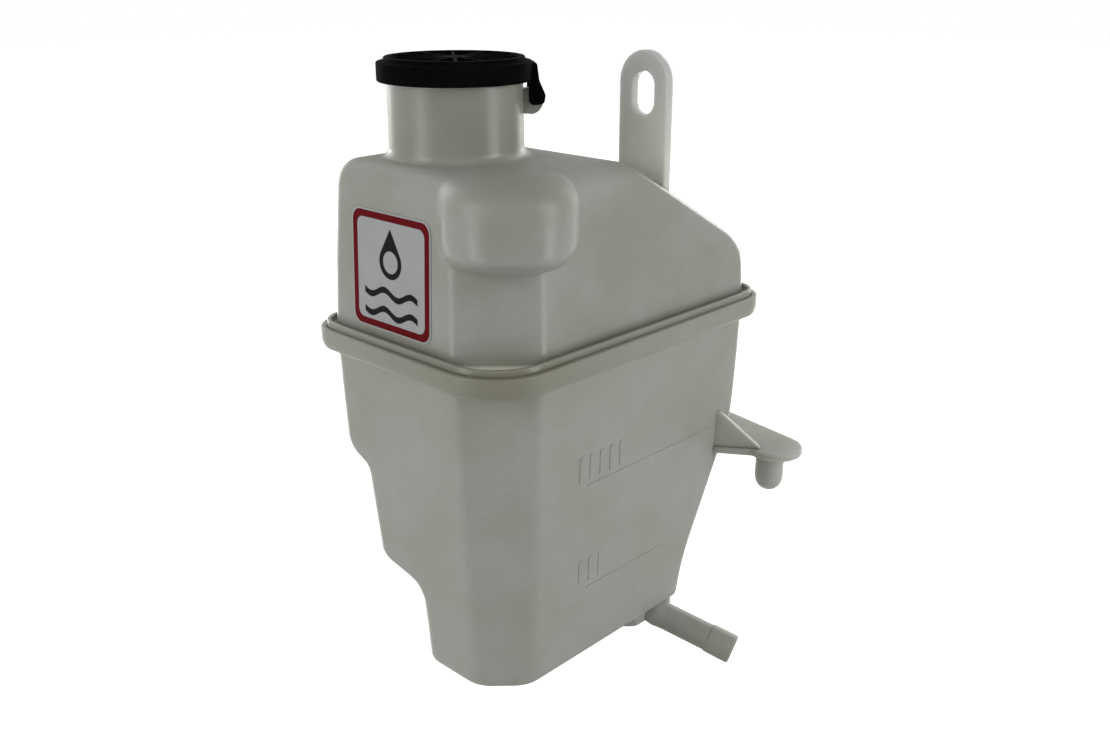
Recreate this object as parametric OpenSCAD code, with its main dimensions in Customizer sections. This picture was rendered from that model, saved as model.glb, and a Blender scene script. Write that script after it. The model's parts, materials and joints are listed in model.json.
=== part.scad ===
// Coolant expansion tank: two moulded half shells welded at a stepped flange,
// a filler neck with a hinged snap cap, a slotted mounting ear, a locating peg
// on a side arm, and a hose nipple on a low sump.
//
// The seam frame has its zero at the flange's front left corner, on the
// flange's underside. The part frame has its zero at the locating peg's root.

/* [Tank body] */
// Length of the weld flange, along X
flange_l = 167.5; // [155:0.5:190]
// Depth of the weld flange, along Y
flange_d = 111; // [104:0.5:125]
// Height of the roof's flat above the flange's underside
roof_h = 76; // [72:0.5:90]
// Depth of the floor below the flange's underside
floor_h = 131; // [124:0.5:150]
// How far the sump reaches below the floor
sump_drop = 9; // [8:0.5:14]
// Wall of both shells
wall = 2.4; // [2:0.1:3]
// Distance from the flange's edge in to the wall
flange_w = 7; // [6:0.1:8]
// Length of the flat roof, from the flange's left edge
roof_flat_l = 83; // [78:0.5:90]

/* [Corner under the neck] */
// Radius of the round bulge at the front corner
bulge_r = 25; // [22:0.5:26]
// Height of the bulge's underside above the flange's underside
bulge_h = 44; // [36:0.5:48]
// Length of the flat cut across the corner, along each wall
corner_cut = 22; // [16:0.5:24]

/* [Filler neck] */
// Outer radius of the neck
neck_r = 25.8; // [24:0.1:27]
// Wall of the neck
neck_wall = 2.6; // [2.2:0.1:3.2]
// Height of the neck's top above the flange's underside
neck_top = 108; // [104:0.5:118]
// Place of the neck's axis, along X
neck_x = 47; // [44:0.5:52]
// Place of the neck's axis, along Y
neck_y = 69; // [64:0.5:71]

/* [Cap] */
// How far the cap stands out over the neck, all round
cap_over = 3.8; // [3.4:0.1:5]
// How far the cap's skirt reaches down over the neck
skirt_drop = 3.8; // [3.5:0.1:4.2]
// Thickness of the sealing ring
seal_t = 1.5; // [1:0.1:2]
// Number of ribs on the cap's top
cap_ribs = 12; // [8:1:18]
// Direction of the hinge, in degrees from +X
hinge_turn = -40; // [-60:1:-20]
// Radius of the hinge studs
stud_r = 1.3; // [1.1:0.05:1.4]
// Angle of the cap: 0 is shut
cap_open = 0; // [0:1:115]

/* [Mounting ear] */
// Width of the ear
ear_w = 24; // [22:0.5:28]
// Thickness of the ear
ear_t = 4; // [3:0.5:5]
// Height of the ear's top above the flange's underside
ear_top = 114.3; // [106:0.1:120]
// Place of the ear's front face, along X
ear_x = 105; // [100:0.5:115]
// Width of the ear's slot
slot_w = 10.8; // [8:0.1:12]
// Length of the ear's slot, end to end
slot_l = 17; // [14:0.5:20]

/* [Locating peg and its arm] */
// Radius of the peg
peg_r = 6.3; // [5:0.1:7]
// Length of the peg's straight part
peg_l = 11.5; // [7:0.5:14]
// Place of the peg's axis, in from the flange's right end
peg_in = 7.5; // [5:0.5:10]
// How far the peg's axis stands out in front of the flange
peg_out = 10.5; // [8:0.5:16]
// Depth of the arm's top below the flange's underside
arm_h = 60; // [50:1:70]
// Thickness of the arm
arm_t = 3.2; // [2.5:0.1:4]

/* [Hose nipple] */
// Outer radius of the nipple's tube
nipple_r = 6.1; // [5.4:0.1:6.4]
// Radius of the nipple's bore
nipple_bore_r = 3.6; // [2.5:0.1:4.2]
// Outer radius of the collar at the nipple's end
collar_r = 6.6; // [6.5:0.1:7.5]
// Length of the collar
collar_l = 12; // [8:0.5:14]
// Length of the nipple, from the sump's wall to its end
nipple_l = 39.5; // [34:0.5:45]
// Place of the nipple's axis, in from the flange's right end
nipple_in = 55; // [50:0.5:60]

/* [Label] */
// Side of the square label
label_w = 46; // [40:0.5:50]
// Height of the label's lower edge above the flange's underside
label_h = 13.5; // [12:0.5:20]
// Distance from the flange's front edge to the label
label_y = 41.5; // [41:0.5:48]

/* [Hidden] */
$fn = 72;

// Colours as the object shows them
natural_plastic = [0.80, 0.81, 0.77];
lower_plastic = [0.84, 0.85, 0.81];
black_plastic = [0.06, 0.06, 0.06];
seal_rubber = [0.12, 0.12, 0.12];
label_vinyl = [0.93, 0.93, 0.93];

// Draft of the walls, as a slope
lower_draft = tan(1.5);
upper_draft = tan(2.6);
// Corner radii of the walls and of the flange
wall_r = 8;
flange_r = wall_r + flange_w;
flange_front_r = 26;
// Fillets at the floor, the sump and the roof
floor_r = 5;
sump_r = 3.5;
roof_r = 9;
cut_r = 6;
// Steps of the flange: tray floor, tray rim, the upper shell's ledge and its lip
tray_h = 5;
rim_h = 9;
ledge_h = 8;
lip_h = 11.5;
tray_in = 2.4;
seam_gap = 0.3;
lip_t = 1.6;
// Centre of the round bulge, in from the flange's edges
bulge_c = [28.5, 21.5];
// Height over which the bulge's underside rounds out
bulge_round = 5;
// The sump lies at the right end of the floor
sump_l = 31;
floor_end_in = 41;

// Lower walls, one row for each height: share of the floor's depth, then the
// back wall's and the end wall's distance in from the flange's edge
LOWER_STATIONS = [
    [0.00, 6.5, 6.5],
    [0.16, 7.0, 6.8],
    [0.31, 7.7, 7.6],
    [0.342, 10.2, 8.0],
    [0.372, 18.6, 8.7],
    [0.40, 20.4, 9.8],
    [0.44, 21.0, 12.0],
    [0.67, 24.8, 26.5],
    [0.692, 29.0, 27.9],
    [0.698, 38.5, 28.3],
    [0.722, 46.6, 29.8],
    [0.765, 50.4, 32.6],
    [0.86, 51.9, 37.6],
    [0.93, 52.4, 39.8],
    [1.00, 53.0, floor_end_in]
];

// Upper walls above the ledge: share of the roof's height, and the back
// wall's and the end wall's distance in from the flange's edge
roof_end_in = flange_l - roof_flat_l;
UPPER_STATIONS = [
    [0.00, 6.2, 6.4],
    [0.21, 6.6, 6.6],
    [0.27, 6.8, 7.4],
    [0.32, 6.9, 9.4],
    [0.41, 7.1, 14.6],
    [1.00, 10.5, roof_end_in]
];

// The k-th value at share s of a station table
function station(table, s, k) = lookup(s, [for (row = table) [row[0], row[k]]]);

// Points on an arc about c, from angle a0 to a1, in n steps
function arc(c, r, a0, a1, n) =
    [for (i = [0:n]) let (a = a0 + (a1 - a0) * i / n) c + r * [cos(a), sin(a)]];

// Front left corner as a round, a flat cut or a bulge, always with 12 points
function round_corner(x, y, r) = arc([x + r, y + r], r, 180, 270, 11);
function bulge_corner(x, y, c, r) =
    arc(c, r, 180 - acos((c.x - x) / r), 360 - asin((c.y - y) / r), 11);
function cut_corner(x, y, cut, r, ends) =
    let (run = r * tan(22.5))
    concat([ends[0]],
           arc([x + r, y + cut + run], r, 180, 225, 4),
           arc([x + cut + run, y + r], r, 225, 270, 4),
           [ends[1]]);
function blend_points(a, b, t) = [for (i = [0:len(a) - 1]) a[i] * (1 - t) + b[i] * t];

// Outline seen from above, with a free front left corner
function outline(x0, x1, y0, y1, r_left, r_right, corner) =
    concat(corner,
           arc([x1 - r_right, y0 + r_right], r_right, 270, 360, 5),
           arc([x1 - r_right, y1 - r_right], r_right, 0, 90, 5),
           arc([x0 + r_left, y1 - r_left], r_left, 90, 180, 5));
function at_height(points, z) = [for (p = points) [p.x, p.y, z]];
function backwards(list) = [for (i = [len(list) - 1:-1:0]) list[i]];

function middle_of(ring) = [for (p = ring) 1 / len(ring)] * ring;

// Closed skin through a row of outlines with the same number of points. Each
// end is closed by a fan about its middle.
module skin(rings) {
    n = len(rings[0]);
    last = (len(rings) - 1) * n;
    top = len(rings) * n;
    points = concat([for (ring = rings) each ring],
                    [middle_of(rings[0]), middle_of(rings[len(rings) - 1])]);
    sides = [for (k = [0:len(rings) - 2]) for (j = [0:n - 1])
        let (a = k * n + j, b = k * n + (j + 1) % n)
        each [[a, b, b + n], [a, b + n, a + n]]];
    start = [for (j = [0:n - 1]) [top, (j + 1) % n, j]];
    end = [for (j = [0:n - 1]) [top + 1, last + j, last + (j + 1) % n]];
    polyhedron(points, concat(start, sides, end), convexity = 8);
}

// Flange outline, moved in by g from its edge
function flange_ring(g, z) =
    at_height(outline(g, flange_l - g, g, flange_d - g, flange_r - g, flange_r - g,
                      round_corner(g, g, flange_front_r - g)), z);

// Lower wall's outline at height z. The surface lies g inside the outer one,
// and is drawn in by round_in at a fillet, and by end_round_in at the end wall.
function lower_ring(z, g, round_in = 0, end_round_in = 0, left = 0) =
    let (s = min(1, max(0, (g - z) / floor_h)),
         inset = flange_w - lower_draft * z + g + round_in,
         x0 = max(inset, left + g + round_in),
         y1 = flange_d - station(LOWER_STATIONS, s, 1) - g - round_in,
         x1 = flange_l - station(LOWER_STATIONS, s, 2) - g - end_round_in,
         r = max(1.5, wall_r - g - round_in),
         cut = (corner_cut - 0.586 * g) * (1 - 0.35 * s) * (left > 0 ? 0.3 : 1),
         fillet = (cut_r + 8 * s - g) * (left > 0 ? 0.3 : 1),
         run = cut + fillet * tan(22.5) + 1,
         ends = [[x0, inset + run], [x0 + run, inset]])
    at_height(outline(x0, x1, inset, y1, r, r, cut_corner(x0, inset, cut, fillet, ends)), z);

// Outlines from the flange down to the sump's floor, g inside the outer surface
fillet_steps = [22.5, 45, 67.5, 90];
function lower_path(g) =
    let (low = -floor_h + g, r = floor_r - g, rs = sump_r - g * 0.6,
         sump_low = -floor_h - sump_drop + g)
    concat(
        [lower_ring(g > 0 ? tray_h : -1.5, g)],
        [for (row = LOWER_STATIONS) if (row[0] > 0 && row[0] < 0.95)
            lower_ring(-row[0] * floor_h + g, g)],
        [lower_ring(low + r, g)],
        [for (a = fillet_steps) lower_ring(low + r - r * sin(a), g, r * (1 - cos(a)))],
        [lower_ring(low, g, sump_in, ledge_w, sump_x0 - sump_in)],
        [lower_ring(sump_low + rs, g, sump_in, ledge_w, sump_x0 - sump_in)],
        [for (a = fillet_steps)
            lower_ring(sump_low + rs - rs * sin(a), g, sump_in + rs * (1 - cos(a)),
                       ledge_w + rs * (1 - cos(a)), sump_x0 - sump_in)]);
sump_x0 = flange_l - floor_end_in - sump_l;
ledge_w = 0.25;
sump_in = floor_r + ledge_w;

// Upper wall's outline at height z, in the same way
function upper_ring(z, g, round_in = 0) =
    let (s = min(1, max(0, (z + g - ledge_h) / (roof_h - ledge_h))),
         inset = flange_w + upper_draft * (z - ledge_h) + g + round_in,
         y1 = flange_d - station(UPPER_STATIONS, s, 1) - g - round_in,
         x1 = flange_l - station(UPPER_STATIONS, s, 2) - g,
         r = max(1.5, wall_r - g - round_in),
         bulge = bulge_corner(inset, inset, bulge_c, bulge_r - g - round_in),
         flat = cut_corner(inset, inset, corner_cut - 0.586 * g, cut_r - g,
                           [bulge[0], bulge[11]]),
         rise = min(1, max(0, (z - bulge_h - g) / bulge_round)))
    at_height(outline(inset, x1, inset, y1, r, r,
                      blend_points(flat, bulge, sqrt(1 - pow(1 - rise, 2)))), z);

// Outlines from the roof down to the flange, g inside the outer surface
function upper_path(g) =
    let (top = roof_h - g, r = roof_r - g)
    concat(
        [for (a = backwards(fillet_steps)) upper_ring(top - r + r * sin(a), g, r * (1 - cos(a)))],
        [upper_ring(top - r, g)],
        [for (rise = [1, 0.35, 0.08, 0]) upper_ring(bulge_h + g + bulge_round * rise, g)],
        [for (s = [0.41, 0.32, 0.27, 0.21]) upper_ring(ledge_h + s * (roof_h - ledge_h) - g, g)],
        [upper_ring(g > 0 ? tray_h : ledge_h, g)]);

// Rings of the lower shell's flange, from the cavity over the tray to the wall
function tray_rings() = [
    flange_ring(tray_in, tray_h),
    flange_ring(tray_in, rim_h),
    flange_ring(0.6, rim_h),
    flange_ring(0, rim_h - 0.8),
    flange_ring(0, 4.4),
    flange_ring(0.4, 2.2),
    flange_ring(1.4, 0.6),
    flange_ring(2.8, 0)
];

// Rings of the upper shell's flange, from the wall over the lip to the cavity
lip_in = tray_in + seam_gap;
function lip_rings() = [
    flange_ring(lip_in + lip_t, ledge_h),
    flange_ring(lip_in + lip_t, lip_h - 0.4),
    flange_ring(lip_in + lip_t - 0.4, lip_h),
    flange_ring(lip_in + 0.4, lip_h),
    flange_ring(lip_in, lip_h - 0.4),
    flange_ring(lip_in, tray_h)
];

// Locating peg, arm and web, in the seam frame
peg_x = flange_l - peg_in;
peg_y = -peg_out;
arm_end_r = peg_r + 6;
arm_end = [peg_x + 2.8, peg_y - 0.3];
arm_root_x = flange_l - 24;
web_h = 17;
web_t = 3;
peg_tip_l = 5.5;

// Flat outline of the arm: it wraps the shell's corner and ends round the peg
module arm_outline() {
    polygon([
        [arm_root_x - 2, flange_w + 7],
        [arm_root_x - 1, flange_w],
        arm_end + arm_end_r * [-cos(20), sin(20)],
        arm_end,
        arm_end + arm_end_r * [cos(10), -sin(10)],
        [flange_l + 14.5, flange_w + 20],
        [flange_l + 13, flange_w + 25.5],
        [flange_l + 7, flange_w + 29.5],
        [flange_l - 20, flange_w + 30]
    ]);
    translate(arm_end)
        circle(r = arm_end_r);
}

module arm() {
    middle = lower_ring(-arm_h - arm_t / 2, wall / 2);
    translate([0, 0, -arm_h - arm_t])
        linear_extrude(arm_t)
            difference() {
                arm_outline();
                polygon([for (p = middle) [p.x, p.y]]);
            }
}

// Upright web along the arm's left edge, highest at the wall
module arm_web() {
    tip = [peg_x - 5.7, peg_y + 2];
    lean = (tip.x - arm_root_x) / (flange_w - tip.y);
    width = web_t * sqrt(1 + lean * lean);
    root_y = flange_w + 1.5 + wall / 2;
    root_x = arm_root_x - lean * (root_y - flange_w);
    foot = [[root_x, root_y], tip, [tip.x + width, tip.y], [root_x + width, root_y]];
    heights = [web_h, 0.6, 0.6, web_h];
    points = concat([for (p = foot) [p.x, p.y, -arm_h - 1]],
                    [for (k = [0:3]) [foot[k].x, foot[k].y, -arm_h + heights[k]]]);
    polyhedron(points, [
        [3, 2, 1, 0], [4, 5, 6, 7], [0, 1, 5, 4], [1, 2, 6, 5], [2, 3, 7, 6], [3, 0, 4, 7]
    ]);
}

module peg() {
    translate([peg_x, peg_y, -arm_h - arm_t])
        rotate_extrude()
            polygon([
                [0, 1], [peg_r, 1], [peg_r, -peg_l], [peg_r - 1.2, -peg_l - peg_tip_l * 0.6],
                [peg_r - 3, -peg_l - peg_tip_l], [0, -peg_l - peg_tip_l]
            ]);
}

// Hose nipple: a tube out of the sump's front wall, with a collar at its end. It
// turns to the right and dips.
nipple_turn = 21;
nipple_in_wall = 4;
nipple_dip = 17;
nipple_x = flange_l - nipple_in;
nipple_y = flange_w + 8.8;
nipple_z = -floor_h - sump_drop + 4.7;

// Along the nipple's axis, from where it leaves the sump's wall
module along_nipple(far) {
    translate([nipple_x, nipple_y, nipple_z])
        rotate([90 + nipple_dip, 0, nipple_turn])
            translate([0, 0, far])
                children();
}

module nipple_body() {
    along_nipple(-nipple_in_wall)
        cylinder(r = nipple_r, h = nipple_l - collar_l + nipple_in_wall);
    along_nipple(nipple_l - collar_l)
        rotate_extrude()
            polygon([
                [0, -0.5], [nipple_r, -0.5], [collar_r - 0.2, 0], [collar_r, 0.3],
                [collar_r, collar_l - 0.6], [collar_r - 0.6, collar_l], [0, collar_l]
            ]);
}

module nipple_bore() {
    along_nipple(-8)
        cylinder(r = nipple_bore_r, h = nipple_l + 12);
}

module lower_shell() {
    color(lower_plastic)
        in_part_frame()
            difference() {
                union() {
                    skin(concat(backwards(lower_path(wall)), tray_rings(), lower_path(0)));
                    arm();
                    arm_web();
                    peg();
                    nipple_body();
                }
                nipple_bore();
            }
}

// Hinge between neck and cap, placed from the neck's axis
neck_bore_r = neck_r - neck_wall;
neck_bead_r = neck_r + 1.2;
hinge_out = 5.1;
hinge_drop = 9.8;
lug_r = 4.6;
lug_w = 7;
lug_gap = 0.2;
stud_gap = 0.08;
fork_t = 2.4;
knuckle_r = 3.1;

module at_neck() {
    translate([neck_x, neck_y, 0])
        rotate([0, 0, hinge_turn])
            children();
}

module across_hinge(w) {
    rotate([90, 0, 0])
        translate([0, 0, -w / 2])
            linear_extrude(w)
                children();
}

hinge_rad = neck_r + hinge_out;
hinge_z = neck_top - hinge_drop;

module hinge_lug() {
    at_neck()
        across_hinge(lug_w) {
            translate([hinge_rad - 2, hinge_z + 0.6])
                circle(r = lug_r);
            translate([neck_r - 1, hinge_z + 0.6 - lug_r])
                square([hinge_rad - 1 - neck_r, 2 * lug_r]);
        }
}

module hinge_hole() {
    at_neck()
        translate([hinge_rad, 0, hinge_z])
            rotate([90, 0, 0])
                cylinder(r = stud_r + stud_gap, h = lug_w + 4, center = true);
}

// Neck tube with a bead round its mouth and a fillet at the roof
neck_fillet = 3.5;
neck_foot_r = neck_r + 0.6 + neck_fillet * (1 - sin(15));
module neck_tube() {
    translate([neck_x, neck_y, 0])
        rotate_extrude()
            polygon(concat(
                [[neck_bore_r - 2, roof_h - wall], [neck_foot_r, roof_h - wall]],
                [for (a = [15:15:75])
                    [neck_r + 0.6 + neck_fillet * (1 - sin(a)), roof_h + neck_fillet * (1.03 - cos(a))]],
                [[neck_r + 0.3, roof_h + neck_fillet + 6],
                 [neck_r, neck_top - 4.4],
                 [neck_bead_r - 0.5, neck_top - 3.6],
                 [neck_bead_r, neck_top - 3],
                 [neck_bead_r, neck_top - 2],
                 [neck_bead_r - 0.6, neck_top - 1.2],
                 [neck_r, neck_top - 1],
                 [neck_r - 0.4, neck_top],
                 [neck_bore_r - 2, neck_top]]
            ));
}

module neck_bore() {
    translate([neck_x, neck_y, roof_h - wall - 5])
        cylinder(r = neck_bore_r, h = neck_top - roof_h + wall + 10);
}

// Mounting ear: an upright plate with a round top and a slot, rooted in the slope
ear_y0 = flange_w + 5.5;
function slope_height(x) =
    let (t = (flange_l - x - 14.6) / (roof_end_in - 14.6))
    ledge_h + (0.41 + 0.59 * t) * (roof_h - ledge_h);
ear_root = slope_height(ear_x + ear_t) - 2;
ear_edge = 0.8;

module ear() {
    top_y = ear_top - ear_w / 2;
    translate([ear_x, ear_y0 + ear_w / 2, 0])
        rotate([90, 0, 90])
            difference() {
                linear_extrude(ear_t)
                    union() {
                        translate([-ear_w / 2, ear_root])
                            square([ear_w, top_y - ear_root]);
                        translate([0, top_y])
                            circle(r = ear_w / 2);
                    }
                translate([0, ear_top - 7.8 - slot_l / 2, -1])
                    linear_extrude(ear_t + 2)
                        slot_outline();
            }
}

module slot_outline() {
    straight = slot_l - slot_w;
    square([slot_w, straight], center = true);
    for (side = [-1, 1])
        translate([0, side * straight / 2])
            circle(r = slot_w / 2);
}

module upper_shell() {
    color(natural_plastic)
        in_part_frame()
            difference() {
                union() {
                    skin(concat(upper_path(0), lip_rings(), backwards(upper_path(wall))));
                    neck_tube();
                    hinge_lug();
                    ear();
                }
                neck_bore();
                hinge_hole();
            }
}

// Cap: skirt, top with a raised rim and ribs, and the fork that holds the studs
cap_r = neck_r + cap_over;
seal_top = neck_top + seal_t;
cap_top = seal_top + 3.6;
skirt_r = neck_bead_r + 0.6;
plate_t = 1.6;
rim_w = 3.4;

module cap_cup() {
    rotate_extrude()
        polygon([
            [0, seal_top], [skirt_r - 0.6, seal_top], [skirt_r, seal_top - 0.6],
            [skirt_r, neck_top - skirt_drop + 0.4], [skirt_r + 0.4, neck_top - skirt_drop],
            [cap_r - 0.4, neck_top - skirt_drop], [cap_r, neck_top - skirt_drop + 0.5],
            [cap_r, cap_top - 2.6], [cap_r - 0.5, cap_top - 1.3], [cap_r - 1.7, cap_top - 0.3],
            [cap_r - 2.3, cap_top],
            [cap_r - rim_w - 1.6, cap_top], [cap_r - rim_w - 2, cap_top - 0.4],
            [cap_r - rim_w - 2.2, seal_top + plate_t], [0, seal_top + plate_t]
        ]);
}

module cap_top_ribs() {
    rib_l = cap_r - rim_w - 2.5;
    for (k = [0:cap_ribs - 1])
        rotate([0, 0, k * 360 / cap_ribs])
            translate([4, -0.6, seal_top + plate_t - 0.3])
                cube([rib_l - 4, 1.2, cap_top - seal_top - plate_t]);
    translate([0, 0, seal_top + plate_t - 0.3])
        cylinder(r = 6, h = cap_top - seal_top - plate_t);
}

// Side view of one fork arm, out from the skirt and down to the studs
module fork_arm_side() {
    polygon([
        [skirt_r + 0.6, hinge_z + 5.6], [skirt_r + 0.6, cap_top - 2.6],
        [cap_r + 1.2, cap_top - 2.6], [cap_r + 2, hinge_z + 6],
        [hinge_rad + knuckle_r, hinge_z + 0.6],
        [hinge_rad + knuckle_r - 0.4, hinge_z - knuckle_r + 0.9],
        [hinge_rad + knuckle_r - 1.6, hinge_z - knuckle_r],
        [hinge_rad - knuckle_r + 1, hinge_z - knuckle_r],
        [hinge_rad - knuckle_r, hinge_z - knuckle_r + 1],
        [hinge_rad - knuckle_r, hinge_z + 4]
    ]);
}

module fork() {
    arm_off = lug_w / 2 + lug_gap + fork_t / 2;
    for (side = [-1, 1])
        translate([0, side * arm_off, 0])
            across_hinge(fork_t)
                fork_arm_side();
    across_hinge(lug_w + 2 * lug_gap + 0.2)
        polygon([
            [skirt_r + 0.6, hinge_z + 6.2], [skirt_r + 0.6, cap_top - 2.6],
            [cap_r + 1.2, cap_top - 2.6], [cap_r + 2, hinge_z + 6.2]
        ]);
    for (side = [-1, 1])
        translate([hinge_rad, side * (lug_w / 2 - 0.8), hinge_z])
            rotate([90, 0, 0])
                cylinder(r = stud_r, h = 2.4, center = true);
}

module cap() {
    color(black_plastic)
        in_part_frame()
            at_neck()
                swing() {
                    cap_cup();
                    cap_top_ribs();
                    fork();
                }
}

// Turns what rides on the cap about the hinge
module swing() {
    translate([hinge_rad, 0, hinge_z])
        rotate([0, cap_open, 0])
            translate([-hinge_rad, 0, -hinge_z])
                union()
                    children();
}

module cap_seal() {
    color(seal_rubber)
        in_part_frame()
            at_neck()
                swing()
                    translate([0, 0, neck_top])
                        difference() {
                            cylinder(r = neck_r - 0.5, h = seal_t);
                            translate([0, 0, -1])
                                cylinder(r = neck_bore_r - 0.8, h = seal_t + 2);
                        }
}

// Square label with round corners, flat on the left wall
label_t = 0.3;
label_r = 4.5;
module label() {
    lean = atan(upper_draft);
    foot_x = flange_w + upper_draft * (label_h - ledge_h);
    color(label_vinyl)
        in_part_frame()
            translate([foot_x, label_y, label_h])
                rotate([0, lean, 0])
                    rotate([90, 0, -90])
                        linear_extrude(label_t)
                            translate([-label_w, 0])
                                label_outline();
}

module label_outline() {
    square_w = label_w - 2 * label_r;
    translate([label_r, 0])
        square([square_w, label_w]);
    translate([0, label_r])
        square([label_w, square_w]);
    for (x = [label_r, label_w - label_r], y = [label_r, label_w - label_r])
        translate([x, y])
            circle(r = label_r);
}

// Moves the seam frame's model so that the peg's root is the origin
module in_part_frame() {
    translate([-peg_x, -peg_y, arm_h + arm_t])
        children();
}

lower_shell();
upper_shell();
cap();
cap_seal();
label();
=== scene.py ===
"""Looks of a moulded coolant expansion tank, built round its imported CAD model.

Shapes are worked out in the seam frame, in millimetres: x = 0, y = 0 and z = 0
lie at the weld flange's left edge, front edge and underside. to_part() moves
them into the model's own frame, in metres.
"""
import json
import math

import bpy
import numpy as np
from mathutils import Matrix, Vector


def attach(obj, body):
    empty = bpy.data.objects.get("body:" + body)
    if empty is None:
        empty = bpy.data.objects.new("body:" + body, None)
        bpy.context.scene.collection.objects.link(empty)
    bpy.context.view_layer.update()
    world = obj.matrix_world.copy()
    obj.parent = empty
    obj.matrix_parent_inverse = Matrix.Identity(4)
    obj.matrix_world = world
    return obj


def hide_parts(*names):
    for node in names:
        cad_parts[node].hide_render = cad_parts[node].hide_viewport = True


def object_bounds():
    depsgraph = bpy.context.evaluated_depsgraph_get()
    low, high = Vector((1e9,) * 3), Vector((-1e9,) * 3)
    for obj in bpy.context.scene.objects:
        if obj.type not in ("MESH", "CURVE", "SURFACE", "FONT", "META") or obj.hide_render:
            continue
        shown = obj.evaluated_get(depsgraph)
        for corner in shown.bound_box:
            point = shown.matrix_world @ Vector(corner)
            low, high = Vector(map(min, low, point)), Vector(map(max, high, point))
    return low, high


bl_info = {
    "name": "Coolant Expansion Tank",
    "version": (1, 0, 0),
    "blender": (4, 5, 0),
    "location": "View3D > Sidebar > Coolant Tank",
    "description": "Builds the shells, cap, label and level marks of a coolant expansion tank",
    "category": "Add Mesh",
}

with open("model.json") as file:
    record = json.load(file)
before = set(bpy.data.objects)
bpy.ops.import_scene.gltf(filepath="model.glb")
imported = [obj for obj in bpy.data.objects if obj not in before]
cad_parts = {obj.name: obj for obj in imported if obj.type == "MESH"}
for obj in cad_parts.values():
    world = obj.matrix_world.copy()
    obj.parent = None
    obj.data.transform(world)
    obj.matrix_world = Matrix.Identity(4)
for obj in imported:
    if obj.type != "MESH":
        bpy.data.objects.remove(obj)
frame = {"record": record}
CAD_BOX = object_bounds()
MOUNTS = {mount["name"]: mount for mount in frame["record"]["mounts"]}
SEAM_ORIGIN = np.array([160.0, -10.5, -63.2])
FLANGE_SIZE = (167.5, 111.0)


# ---------------------------------------------------------------- properties

def length(name, description, default, low=0.0001, high=0.5):
    """A size in metres that the sidebar shows with its unit."""
    return bpy.props.FloatProperty(name=name, description=description, default=default,
                                   min=low, max=high, precision=5, subtype="DISTANCE", unit="LENGTH")


def paint(name, description, default):
    """A colour that the sidebar shows as a swatch, written in linear values."""
    return bpy.props.FloatVectorProperty(name=name, description=description, default=default,
                                         size=3, min=0.0, max=1.0, subtype="COLOR")


class TankSizes(bpy.types.PropertyGroup):
    """Sizes of the tank's shells and of what is moulded on them"""
    flange_length: length("Flange length", "Length of the weld flange along X", FLANGE_SIZE[0] / 1000)
    flange_depth: length("Flange depth", "Depth of the weld flange along Y", FLANGE_SIZE[1] / 1000)
    roof_height: length("Roof height", "Height of the flat roof above the flange's underside", 0.076)
    floor_depth: length("Floor depth", "Depth of the floor below the flange's underside", 0.131)
    wall: length("Wall", "Wall of both shells", 0.0024)
    neck_radius: length("Neck radius", "Outer radius of the filler neck", 0.0258)
    neck_top: length("Neck top", "Height of the neck's mouth above the flange's underside", 0.108)
    ear_top: length("Ear top", "Height of the ear's round top above the flange's underside", 0.1143)
    peg_radius: length("Peg radius", "Radius of the locating peg",
                       MOUNTS["locating_peg"]["dims"]["r_mm"] / 1000)
    nipple_radius: length("Nipple radius", "Outer radius of the nipple's tube", 0.0061)
    collar_radius: length("Collar radius", "Outer radius of the nipple's collar",
                          MOUNTS["hose_nipple"]["dims"]["r_mm"] / 1000)


class CapSizes(bpy.types.PropertyGroup):
    """Sizes of the hinged cap and its seal"""
    radius: length("Cap radius", "Outer radius of the cap", 0.0296)
    skirt: length("Skirt", "How far the skirt reaches below the neck's mouth", 0.0038)
    ribs: bpy.props.IntProperty(name="Ribs", description="Number of ribs on the cap's top",
                                default=12, min=4, max=24)


class TankFinish(bpy.types.PropertyGroup):
    """Colours of the plastic, the seal and the label"""
    upper: paint("Upper plastic", "Colour of the upper shell", (0.33, 0.335, 0.30))
    # Painted light: the ear is the upper shell's plastic painted about twice as light, standing in for light
    # through the thin plate and against the neck's shadow on it
    ear: paint("Ear plastic", "Colour of the ear, which lets light through", (0.70, 0.705, 0.68))
    # Painted light: the arm and peg are the lower shell's plastic painted lighter, against the shade on the
    # arm and its web
    arm: paint("Arm plastic", "Colour of the arm and peg, which let light through", (0.43, 0.43, 0.39))
    lower: paint("Lower plastic", "Colour of the lower shell", (0.355, 0.36, 0.325))
    weld: paint("Weld", "Colour of the thick plastic at the flange", (0.20, 0.195, 0.14))
    cap: paint("Cap", "Colour of the cap", (0.003, 0.003, 0.003))
    seal: paint("Seal", "Colour of the sealing ring", (0.03, 0.03, 0.03))
    label_field: paint("Label field", "Colour of the label's ground", (0.42, 0.425, 0.435))
    label_border: paint("Label border", "Colour of the label's border", (0.13, 0.004, 0.008))
    label_ink: paint("Label ink", "Colour of the label's drawing", (0.012, 0.012, 0.014))


# -------------------------------------------------------------------- shapes

def to_part(points):
    """Seam frame in millimetres to the model's frame in metres."""
    return (np.asarray(points, float) - SEAM_ORIGIN) / 1000.0


def new_piece(name, points, body, slot, material, closed_v=False):
    """A grid of points, rows by columns by three, as one piece."""
    return mesh_piece(name, *grid_faces(points, closed_v), body, slot, material)


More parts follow.
